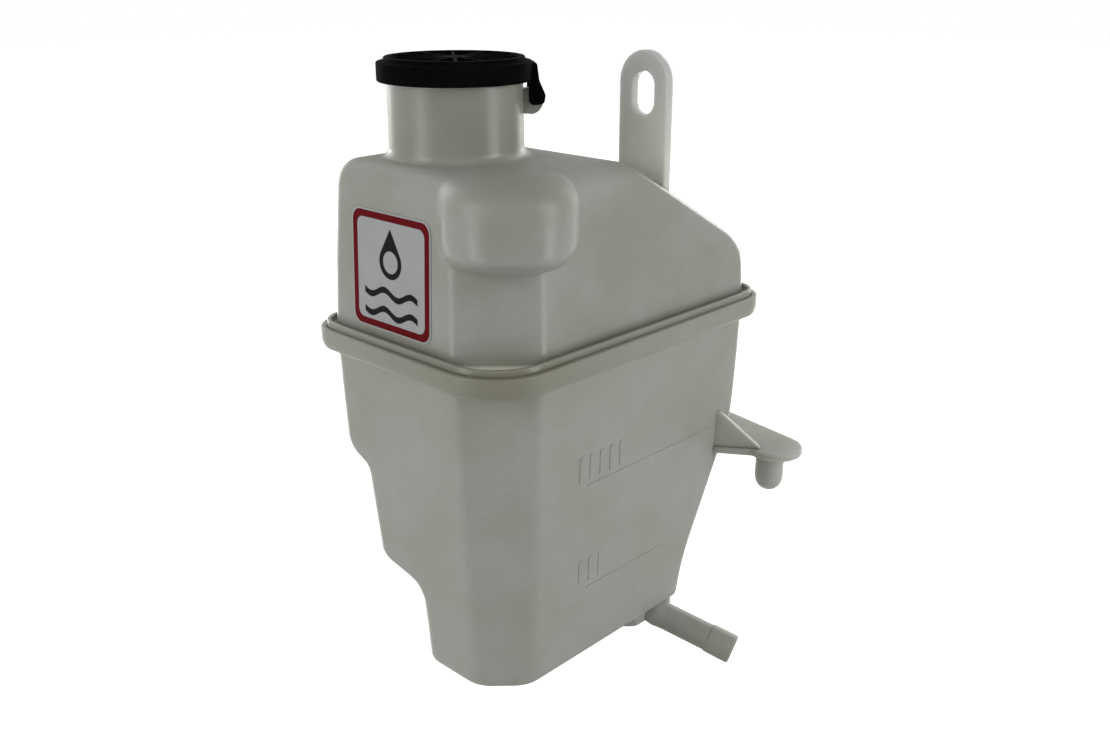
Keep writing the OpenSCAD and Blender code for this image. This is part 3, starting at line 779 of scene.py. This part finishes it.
class UpperShell(bpy.types.Operator):
    """Builds the upper shell with its flange, bulge, sloped roof and filler neck"""
    bl_idname = "coolant_tank.upper_shell"
    bl_label = "Upper Shell"

    def execute(self, context):
        sizes, colours = context.scene.tank_sizes, context.scene.tank_finish
        wall = sizes.wall * 1000
        outer, inner = self.side(sizes, 0.0), self.side(sizes, wall)
        lip = rounded([(FLANGE_IN - 0.1, LEDGE), (4.3, LEDGE), (4.3, 11.5), (2.7, 11.5), (2.7, TRAY),
                       (FLANGE_IN + wall, TRAY)], [0.6, 0.6, 0.5, 0.5, 0.4, 0.4], 6)
        flange = flange_rings(sizes, lip[:-1, 0], lip[:-1, 1])[::-1]
        neck = self.neck(sizes, outer[-1], inner[-1])
        skin = np.concatenate([flange, outer, neck, inner[::-1]])
        piece = new_piece("upper_body", skin[::-1], "tank", "natural_plastic",
                          material("upper", colours), closed_v=True)
        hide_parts("upper_shell")
        return {"FINISHED"}

    def side(self, sizes, gap):
        """Rows from the flange up the wall and round the shoulder to the roof.
        The shoulder is a quarter of a superellipse of power 2.5, kept outside
        the neck by a smooth maximum of its distance from the neck's axis and
        the neck's radius."""
        roof = sizes.roof_height * 1000 - gap
        r = ROOF_RADIUS - gap
        low = [TRAY, 8.0] if gap > 0 else [LEDGE, LEDGE + 0.4, LEDGE + 1.2]
        under = BULGE_UNDER + 0.05 + gap + BULGE_ROUND * np.linspace(0, 1, 24) ** 1.6
        z = np.concatenate([low, np.linspace(10, BULGE_UNDER, 30), under,
                            np.linspace(54, roof - gap - r - 0.5, 10) + gap, [roof - r]])
        z = z[z <= roof - r]
        a = quarter(14)
        up, across = np.sin(a) ** 0.8, np.clip(np.cos(a), 0, 1) ** 0.8
        shoulder = upper_rings(sizes, roof - r + r * up, gap, r * (1 - across))
        out = shoulder[..., :2] - NECK_CENTRE
        distance = np.linalg.norm(out, axis=-1)
        least = sizes.neck_radius * 1000 + (0.8 if gap == 0 else -0.6)
        kept = (distance + least + np.sqrt((distance - least) ** 2 + 4)) / 2
        kept = distance + (kept - distance) * np.clip(2 * (1 - across), 0, 1)[:, None]
        shoulder[..., :2] = NECK_CENTRE + out * (kept / distance)[..., None]
        return np.concatenate([upper_rings(sizes, z, gap), shoulder])

    @staticmethod
    def polar(ring):
        """Angle and distance of a ring's points about the neck's axis, and
        smoother angles: a running mean of how far they are off even steps, which
        counts in full only where the ring is well away from the neck's foot."""
        out = ring[:, :2] - NECK_CENTRE
        angle, distance = np.unwrap(np.arctan2(out[:, 1], out[:, 0])), np.linalg.norm(out, axis=1)
        even = angle[0] + 2 * np.pi * np.arange(len(angle)) / len(angle)
        drift = np.mean([np.roll(angle - even, k) for k in range(-5, 6)], axis=0)
        return angle, distance, angle + (even + drift - angle) * np.clip((distance - 31) / 10, 0, 1)

    @staticmethod
    def flat(ring, radius, turned_angle):
        """Rows between a flat ring and a circle of the given radii: angle and
        distance both go evenly from the one to the other, and the distance to
        the ring is read at the angle that each point has got to."""
        angle, distance, _ = UpperShell.polar(ring)
        order = np.argsort(angle)
        rows = []
        for t in np.linspace(0, 1, 10)[1:-1]:
            a = angle * (1 - t) + turned_angle * t
            reach = np.interp(a, angle[order], distance[order], period=2 * np.pi)
            d = np.minimum(reach * (1 - t) + radius * t, reach)[:, None]
            plan = NECK_CENTRE + d * np.column_stack([np.cos(a), np.sin(a)])
            rows.append(np.column_stack([plan, ring[:, 2]]))
        return np.array(rows)

    def neck(self, sizes, roof_ring, ceiling_ring):
        """Rows that lead from the roof's outline in to the neck's foot, up the
        tube, over its bead and mouth, down the bore and out to the ceiling's
        outline."""
        real, reach, angle = self.polar(roof_ring)
        heading = np.column_stack([np.cos(angle), np.sin(angle)])
        r, top = sizes.neck_radius * 1000, sizes.neck_top * 1000
        roof, ceiling = roof_ring[0, 2], ceiling_ring[0, 2]
        order = np.argsort(real)
        foot = np.minimum(r + 4.2, np.interp(angle, real[order], reach[order], period=2 * np.pi) - 0.15)
        a = np.linspace(0, np.pi / 2, 9)[:, None]
        tube = rounded([(r + 0.3, roof + 4), (r, top - 4.4), (r + 1.2, top - 3.4), (r + 1.2, top - 1.4),
                        (r, top - 0.9), (r - 0.2, top), (r - 2.6, top), (r - 2.6, ceiling + 1.2),
                        (r - 1.0, ceiling)], [1, 0.8, 0.5, 0.6, 0.5, 0.4, 0.6, 1, 1], 5)
        radius = np.concatenate([foot - (foot - r - 0.3) * np.sin(a), tube[1:, :1] + 0 * foot])
        height = np.concatenate([roof + 3.8 * (1 - np.cos(a)) + 0 * foot, tube[1:, 1:] + 0 * foot])
        rows = np.concatenate([NECK_CENTRE + heading * radius[..., None], height[..., None]], axis=-1)
        return np.concatenate([self.flat(roof_ring, foot, angle), rows,
                               self.flat(ceiling_ring, radius[-1], angle)[::-1]])


# The web stands in the arm, and the nipple's axis starts inside the sump's wall
WEB_LOW = -61.0
WEB_HIGH = -43.0
WEB_THICK = 3.0
NIPPLE_ROOT = np.array([112.5, 15.8, -135.3])
NIPPLE_TURN = math.radians(21)
NIPPLE_DIP = math.radians(17)


class SideFittings(bpy.types.Operator):
    """Builds the arm with its web, the locating peg and the hose nipple"""
    bl_idname = "coolant_tank.side_fittings"
    bl_label = "Arm, Peg and Nipple"

    def execute(self, context):
        sizes, colours = context.scene.tank_sizes, context.scene.tank_finish
        piece = mesh_piece("arm_and_peg", *join_pieces([*self.arm(sizes), grid_faces(self.peg(sizes))]),
                           "tank", "lower_plastic", material("arm", colours))
        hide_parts("lower_shell")
        piece = new_piece("hose_nipple", self.nipple(sizes), "tank", "lower_plastic",
                          material("lower", colours), closed_v=True)
        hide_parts("lower_shell")
        return {"FINISHED"}

    def arm(self, sizes):
        """The arm is an outline with a round end, raised; the web is a triangle
        that stands on its left edge."""
        end = one_arc(162.8, -10.8, sizes.peg_radius * 1000 + 6, -200, -10, 39)
        root = np.array([(182, 27), (180.5, 32.5), (174.5, 36.5), (152.4, 37)])
        corner = one_arc(145.4, 16.8, 7, 0, -90, 7)
        plan = np.concatenate([end, root, corner, [(142.0, 9.8), (142.5, 7.0)]])
        plan = evenly(rounded(plan, 1.0, 3, closed=True), 200)
        sole = prism(plan, SEAM_ORIGIN[2], WEB_LOW + 1.0, 0.7)
        start, run = np.array([143.5, 7.0]), np.array([10.8, -15.5])
        long = np.linalg.norm(run)
        run /= long
        side = np.array([run[1], -run[0]])
        web = rounded([(-2.6, WEB_LOW), (long, WEB_LOW), (long, WEB_LOW + 1.5), (0.2, WEB_HIGH),
                       (-2.6, WEB_HIGH)], [0.3, 0.3, 0.6, 2, 0.3], 5, closed=True)
        sheet = prism(evenly(web, 96), -WEB_THICK, 0.0, 0.5)
        upright = start + sheet[..., :1] * run + sheet[..., 2:] * side
        return [grid_faces(sole), grid_faces(np.concatenate([upright, sheet[..., 1:2]], axis=-1))]

    def peg(self, sizes):
        """The peg's profile turned: a small fillet at the arm, a straight shank
        and a domed tip."""
        r = sizes.peg_radius * 1000
        profile = rounded([(0.02, -80.2), (r - 3.2, -80.2), (r - 0.9, -78.0), (r, -74.9), (r, -63.0),
                           (r + 1.0, -62.0), (0.02, -61.5)], [0.1, 1.6, 1.6, 1.6, 0.6, 0.3, 0.1], 6)
        return turned(profile, 64) + np.array([*SEAM_ORIGIN[:2], 0.0])

    def nipple(self, sizes):
        """A closed section turned about the nipple's axis: tube, collar, mouth
        and bore. The axis turns to the right and dips."""
        r, rc = sizes.nipple_radius * 1000, sizes.collar_radius * 1000
        bore = MOUNTS["coolant_port"]["dims"]["r_mm"]
        tube = [(bore, -4.0), (r - 0.5, -4.0), (r + 0.5, 1.5), (r, 5.0), (r, 27.4)]
        collar = [(rc - 0.1, 27.6), (rc, 38.9), (rc - 0.7, 39.5), (bore + 0.5, 39.5), (bore, 38.9)]
        section = rounded(tube + collar, [0.2, 0.4, 1.8, 3, 0.3, 0.3, 0.5, 0.4, 0.3, 0.4], 5, closed=True)
        across = np.array([math.cos(NIPPLE_TURN), math.sin(NIPPLE_TURN), 0.0])
        level = np.array([math.sin(NIPPLE_TURN), -math.cos(NIPPLE_TURN), 0.0])
        along = math.cos(NIPPLE_DIP) * level - math.sin(NIPPLE_DIP) * np.array([0.0, 0.0, 1.0])
        return NIPPLE_ROOT + turned(section, 64) @ np.stack([across, np.cross(along, across), along])


# The ear's two faces, its middle, and its outline; the slot below its top
EAR_FRONT = 105.0
EAR_BACK = 109.0
EAR_MIDDLE = 24.5
EAR_HALF = 12.0
EAR_FOOT = 59.2
EAR_BEND = 1.7
SLOT_DOWN = 16.3
SLOT_HALF = 8.5
SLOT_RADIUS = 5.4
# The hinge's direction from the neck, and its place out from the neck's wall
# and down from its mouth
HINGE_TURN = math.radians(-40)
HINGE_OUT = 5.1
HINGE_DOWN = 9.8
HINGE_BORE = 1.38
STUD_RADIUS = 1.3


class MountingEar(bpy.types.Operator):
    """Builds the slotted ear and the hinge lug on the upper shell"""
    bl_idname = "coolant_tank.mounting_ear"
    bl_label = "Ear and Hinge Lug"

    def execute(self, context):
        sizes, colours = context.scene.tank_sizes, context.scene.tank_finish
        piece = new_piece("mounting_ear", self.ear(sizes), "tank", "natural_plastic",
                          material("ear", colours), closed_v=True)
        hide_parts("upper_shell")
        piece = new_piece("hinge_lug", self.lug(sizes), "tank", "natural_plastic",
                          material("upper", colours), closed_v=True)
        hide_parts("upper_shell")
        return {"FINISHED"}

    def ear(self, sizes):
        """The ear's outline is a rectangle under a half circle, the slot's is
        two half circles; both start at their lowest point."""
        top, low = sizes.ear_top * 1000, EAR_FOOT + EAR_BEND
        out = EAR_HALF - EAR_BEND
        outer = np.concatenate([[(0, EAR_FOOT)], one_arc(out, low, EAR_BEND, -90, 0, 6),
                                one_arc(0, top - EAR_HALF, EAR_HALF, 0, 180, 40),
                                one_arc(-out, low, EAR_BEND, 180, 270, 6)])
        middle, reach = top - SLOT_DOWN, SLOT_HALF - SLOT_RADIUS
        slot = np.concatenate([one_arc(0, middle - reach, SLOT_RADIUS, -90, 0, 15),
                               one_arc(0, middle + reach, SLOT_RADIUS, 0, 180, 31),
                               one_arc(0, middle - reach, SLOT_RADIUS, 180, 270, 15)[:-1]])
        rows = plate(evenly(outer, 160), evenly(slot, 160), EAR_FRONT, EAR_BACK, 0.6)
        return np.stack([rows[..., 2], EAR_MIDDLE + rows[..., 0], rows[..., 1]], axis=-1)

    def lug(self, sizes):
        """The lug stands on the neck under the cap: a round end with a bore,
        and a square root inside the neck's wall."""
        out, z = hinge_axis(sizes)
        root = sizes.neck_radius * 1000 - 1
        nose = one_arc(out - 2.6, z - 1.9, 5.0, -80, 80, 29)
        outer = np.concatenate([[(root, z - 6.5)], nose, [(root, z + 2.4)]])
        bore = circle(out, z, HINGE_BORE, 96, -145)
        return about_neck(stood_up(plate(evenly(outer, 96), bore, -3.5, 3.5, 0.4)))


def hinge_axis(sizes):
    """The hinge's distance from the neck's axis, and its height."""
    return sizes.neck_radius * 1000 + HINGE_OUT, sizes.neck_top * 1000 - HINGE_DOWN


def swung(points, angle):
    """Points turned about Z by an angle in radians."""
    x, y, z = np.moveaxis(points, -1, 0)
    c, s = math.cos(angle), math.sin(angle)
    return np.stack([x * c - y * s, x * s + y * c, z], axis=-1)


def about_neck(points):
    """Points given from the neck's axis along the hinge's direction, turned
    into the seam frame."""
    return swung(points, HINGE_TURN) + np.array([*NECK_CENTRE, 0.0])


SEAL_HEIGHT = 1.5
CAP_HEIGHT = 3.6
LID_HEIGHT = 1.6


class SnapCap(bpy.types.Operator):
    """Builds the cap: skirt, raised rim, ribs, hub and the fork of its hinge"""
    bl_idname = "coolant_tank.snap_cap"
    bl_label = "Snap Cap"

    def execute(self, context):
        sizes, colours = context.scene.tank_sizes, context.scene.tank_finish
        cap = context.scene.cap_sizes
        rows = [self.cup(sizes, cap), *self.ribs(sizes, cap), *self.fork(sizes, cap)]
        piece = mesh_piece("snap_cap", *join_pieces([grid_faces(about_neck(part)) for part in rows]),
                           "lid", "black_plastic", material("cap", colours))
        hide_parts("cap")
        piece = new_piece("sealing_ring", self.seal(sizes), "lid", "seal_rubber",
                          material("seal", colours), closed_v=True)
        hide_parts("cap_seal")
        return {"FINISHED"}

    def cup(self, sizes, cap):
        """The cap's section from its underside's centre round the skirt to its
        top's centre, turned."""
        r, top = cap.radius * 1000, sizes.neck_top * 1000
        skirt_r, low = sizes.neck_radius * 1000 + 1.8, top - cap.skirt * 1000
        under = top + SEAL_HEIGHT
        lid, high = under + LID_HEIGHT, under + CAP_HEIGHT
        skirt = [(0.02, under), (skirt_r, under), (skirt_r, low), (r, low), (r, high - 1.9)]
        rim = [(r - 2.7, high - 1.2), (r - 3.0, high), (r - 5.2, high), (r - 5.6, lid), (0.02, lid)]
        return turned(rounded(skirt + rim, [0.1, 0.6, 0.4, 0.7, 0.5, 0.3, 0.4, 0.5, 0.5, 0.1], 5), 128)

    def ribs(self, sizes, cap):
        """Radial bars on the cap's top, and a round hub."""
        low = sizes.neck_top * 1000 + SEAL_HEIGHT + 1.2
        high = low + 2.1
        reach = cap.radius * 1000 - 5.7
        bar = np.array([(4.0, -0.6), (reach, -0.6), (reach, 0.6), (4.0, 0.6)])
        rib = prism(evenly(rounded(bar, 0.25, 3, closed=True), 48), low, high, 0.25, 3)
        made = [swung(rib, 2 * math.pi * k / cap.ribs) for k in range(cap.ribs)]
        return made + [prism(circle(0, 0, 6, 48), low, high, 0.5, 4)]

    def fork(self, sizes, cap):
        """Two arms and the bridge between them, as outlines in the hinge's
        plane, and the studs that stand in the lug's bore."""
        out, z = hinge_axis(sizes)
        near, far = sizes.neck_radius * 1000 + 2.4, cap.radius * 1000 + 2
        high = sizes.neck_top * 1000 + SEAL_HEIGHT + 1.0
        arm = [(near, high), (near, z + 5.6), (out - 3.1, z + 4), (out - 3.1, z - 2.1),
               (out - 2.1, z - 3.1), (out + 1.5, z - 3.1), (out + 2.7, z - 2.2),
               (out + 3.1, z + 0.6), (far, z + 6), (far - 0.8, high)]
        bridge = [(near, high), (near, z + 6.2), (far, z + 6.2), (far - 0.8, high)]
        made = []
        for profile, low, wide in ((arm, 3.7, 2.4), (arm, -6.1, 2.4), (bridge, -3.9, 7.8)):
            profile = evenly(rounded(profile, 0.6, 4, closed=True), 96)
            made.append(prism(profile, low, low + wide, 0.3, 3))
        for low in (1.5, -3.9):
            made.append(prism(circle(out, z, STUD_RADIUS, 32), low, low + 2.4, 0.2, 3))
        return [stood_up(rows) for rows in made]

    def seal(self, sizes):
        """A flat ring on the neck's mouth."""
        r, low = sizes.neck_radius * 1000, sizes.neck_top * 1000
        high = low + SEAL_HEIGHT
        section = [(r - 3.4, low), (r - 0.5, low), (r - 0.5, high), (r - 3.4, high)]
        return about_neck(turned(rounded(section, 0.3, 4, closed=True), 96))[::-1]


class TankLabel(bpy.types.Operator):
    """Builds the square label on the left wall"""
    bl_idname = "coolant_tank.label"
    bl_label = "Label"

    def execute(self, context):
        colours = context.scene.tank_finish
        half = LABEL_SIDE / 2
        place = half - LABEL_CORNER
        plan = np.concatenate([one_arc(place * right, place * up, LABEL_CORNER, a, a + 90, 11)
                               for right, up, a in ((1, 1, 0), (-1, 1, 90), (-1, -1, 180), (1, -1, 270))])
        rows = prism(evenly(plan, 160), 0.0, 0.3, 0.1, 3)
        lean = math.atan(UPPER_SLOPE)
        up = rows[..., 1] + half
        foot_x = FLANGE_IN + UPPER_SLOPE * (LABEL_LOW - LEDGE)
        x = foot_x + up * math.sin(lean) - rows[..., 2] * math.cos(lean)
        y = LABEL_FRONT + half - rows[..., 0]
        z = LABEL_LOW + up * math.cos(lean) + rows[..., 2] * math.sin(lean)
        piece = new_piece("tank_label", np.stack([x, y, z], axis=-1), "tank", "label_vinyl",
                          material("label", colours))
        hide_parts("label")
        return {"FINISHED"}


MARK_HEIGHT = 0.28


class LevelMarks(bpy.types.Operator):
    """Raises the two level lines and their plain bars on the front wall"""
    bl_idname = "coolant_tank.level_marks"
    bl_label = "Level Marks"

    def execute(self, context):
        colours = context.scene.tank_finish
        bars = [(56.5, 138.7, -50.2, -49.2), (58.0, 107.8, -97.5, -96.5)]
        bars += [(x, x + 2.4, -47.0, -36.0) for x in (52, 58, 64, 70, 76)]
        bars += [(x, x + 2.4, -94.0, -83.0) for x in (53, 59, 65)]
        piece = mesh_piece("level_marks", *join_pieces([grid_faces(self.bar(*bar)) for bar in bars]),
                           "tank", "lower_plastic", material("lower", colours))
        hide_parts("lower_shell")
        return {"FINISHED"}

    def bar(self, x0, x1, z0, z1):
        """A low bar with round edges that follows the front wall's draft."""
        corners = np.array([(x0, z0), (x1, z0), (x1, z1), (x0, z1)])
        plan = evenly(rounded(corners, 0.4, 4, closed=True), 64)
        rows = prism(plan, -0.6, MARK_HEIGHT, 0.25, 4)
        wall = FLANGE_IN - LOWER_SLOPE * rows[..., 1]
        return np.stack([rows[..., 0], wall - rows[..., 2], rows[..., 1]], axis=-1)


# The camera fitted to the photograph: its place, how far it looks down and is
# turned, in degrees, and its focal length in the photograph's pixels
CAMERA_AT = (-245.55, -261.34, 148.90)
CAMERA_DOWN = 20.21
CAMERA_TURN = 46.46
FOCAL_LENGTH = 1128.3
PHOTO_WIDTH = 1110
SENSOR = 36.0
# Each lamp's direction from the origin, in degrees, and its power in watts
LAMPS = {"key": (165, 6.4), "fill": (290.5, 8.6), "side": (12, 5.0), "back": (88, 5.0)}
LAMP_FAR = 1.35
LAMP_HIGH = 0.45
LAMP_SIZE = (0.45, 1.0)
TANK_MIDDLE = np.array([-0.07, 0.06, 0.06])
STUDIO_GLOW = 0.29
FLOOR_HALF = 4.0
FLOOR_BELOW = 0.0005


class Stage(bpy.types.Operator):
    """Sets the camera, the pale floor, the lamps and the plain background"""
    bl_idname = "coolant_tank.stage"
    bl_label = "Stage"

    def execute(self, context):
        scene = context.scene
        camera = bpy.data.objects.new("camera", bpy.data.cameras.new("camera"))
        camera.location = to_part(CAMERA_AT)
        camera.rotation_euler = (math.radians(90 - CAMERA_DOWN), 0, math.radians(-CAMERA_TURN))
        camera.data.sensor_width = SENSOR
        camera.data.lens = FOCAL_LENGTH / PHOTO_WIDTH * SENSOR
        scene.collection.objects.link(camera)
        scene.camera = camera
        self.floor(scene)
        for name, (azimuth, power) in LAMPS.items():
            self.lamp(scene, name, math.radians(azimuth), power)
        self.studio(scene)
        scene.view_settings.view_transform = "Standard"
        return {"FINISHED"}

    def studio(self, scene):
        """A white background for the camera and in the gloss, and a dimmer one
        that lights the tank."""
        world = bpy.data.worlds.new("studio")
        scene.world = world
        world.use_nodes = True
        build = NodeTree(world.node_tree)
        camera, glossy = build.node("ShaderNodeLightPath", output=("Is Camera Ray", "Is Glossy Ray"))
        glow, seen = (build.node("ShaderNodeBackground", {}, {"Color": (1, 1, 1), "Strength": strength})
                      for strength in (STUDIO_GLOW, 1.0))
        mix = build.node("ShaderNodeMixShader", {}, {0: camera + glossy, 1: glow, 2: seen})
        build.node("ShaderNodeOutputWorld", {}, {"Surface": mix}, None)

    def floor(self, scene):
        """A wide pale floor just under the sump, the same all over. The camera
        sees it matt, and in glossy surfaces it is polished, so that they show
        the background and the lamps in it."""
        low = CAD_BOX[0][2] - FLOOR_BELOW
        mesh = bpy.data.meshes.new("floor")
        corners = [(FLOOR_HALF * x, FLOOR_HALF * y, low) for x, y in ((-1, -1), (1, -1), (1, 1), (-1, 1))]
        mesh.from_pydata(corners, [], [(0, 1, 2, 3)])
        f = Finish("floor_paint", Specular_IOR_Level=0.0, Emission_Strength=0.8)
        camera, glossy = f.node("ShaderNodeLightPath", output=("Is Camera Ray", "Is Glossy Ray"))
        mesh.materials.append(f.finish(
            Base_Color=f.mix(glossy, (0.8, 0.8, 0.8), (1, 1, 1)), Metallic=glossy,
            Roughness=(1.0 - glossy) * 0.9, Emission_Color=f.mix(camera, (0, 0, 0), (1, 1, 1))))
        floor = bpy.data.objects.new("floor", mesh)
        scene.collection.objects.link(floor)

    def lamp(self, scene, name, azimuth, power):
        """A tall soft lamp that stands round the tank and faces its middle."""
        data = bpy.data.lights.new(name, "AREA")
        data.shape, data.energy = "RECTANGLE", power
        data.size, data.size_y = LAMP_SIZE
        lamp = bpy.data.objects.new(name, data)
        lamp.location = (LAMP_FAR * math.cos(azimuth), LAMP_FAR * math.sin(azimuth), LAMP_HIGH)
        aim = TANK_MIDDLE - np.array(lamp.location)
        lamp.rotation_euler = (math.atan2(math.hypot(aim[0], aim[1]), -aim[2]), 0,
                               math.atan2(aim[1], aim[0]) - math.pi / 2)
        scene.collection.objects.link(lamp)


class TankPanel(bpy.types.Panel):
    """Lists the tank's pieces, sizes and colours in the sidebar"""
    bl_idname = "VIEW3D_PT_coolant_tank"
    bl_label = "Coolant Tank"
    bl_space_type = "VIEW_3D"
    bl_region_type = "UI"
    bl_category = "Coolant Tank"

    def draw(self, context):
        column = self.layout.column()
        for operator in OPERATORS:
            column.operator(operator.bl_idname)
        for group in (context.scene.tank_sizes, context.scene.cap_sizes, context.scene.tank_finish):
            box = column.box()
            for key in type(group).__annotations__:
                box.prop(group, key)


GROUPS = {"tank_sizes": TankSizes, "cap_sizes": CapSizes, "tank_finish": TankFinish}
OPERATORS = (Stage, LowerShell, UpperShell, SideFittings, MountingEar, SnapCap, TankLabel, LevelMarks)


def register():
    """Registers the sizes and colours, the operators and the panel."""
    for name, group in GROUPS.items():
        bpy.utils.register_class(group)
        setattr(bpy.types.Scene, name, bpy.props.PointerProperty(type=group))
    for operator in OPERATORS:
        bpy.utils.register_class(operator)
    bpy.utils.register_class(TankPanel)


def unregister():
    """Takes them out again."""
    bpy.utils.unregister_class(TankPanel)
    for operator in reversed(OPERATORS):
        bpy.utils.unregister_class(operator)
    for name, group in GROUPS.items():
        delattr(bpy.types.Scene, name)
        bpy.utils.unregister_class(group)


def main():
    """Builds the scene."""
    register()
    for operator in OPERATORS:
        group, name = operator.bl_idname.split(".")
        getattr(getattr(bpy.ops, group), name)()


if __name__ == "__main__":
    main()
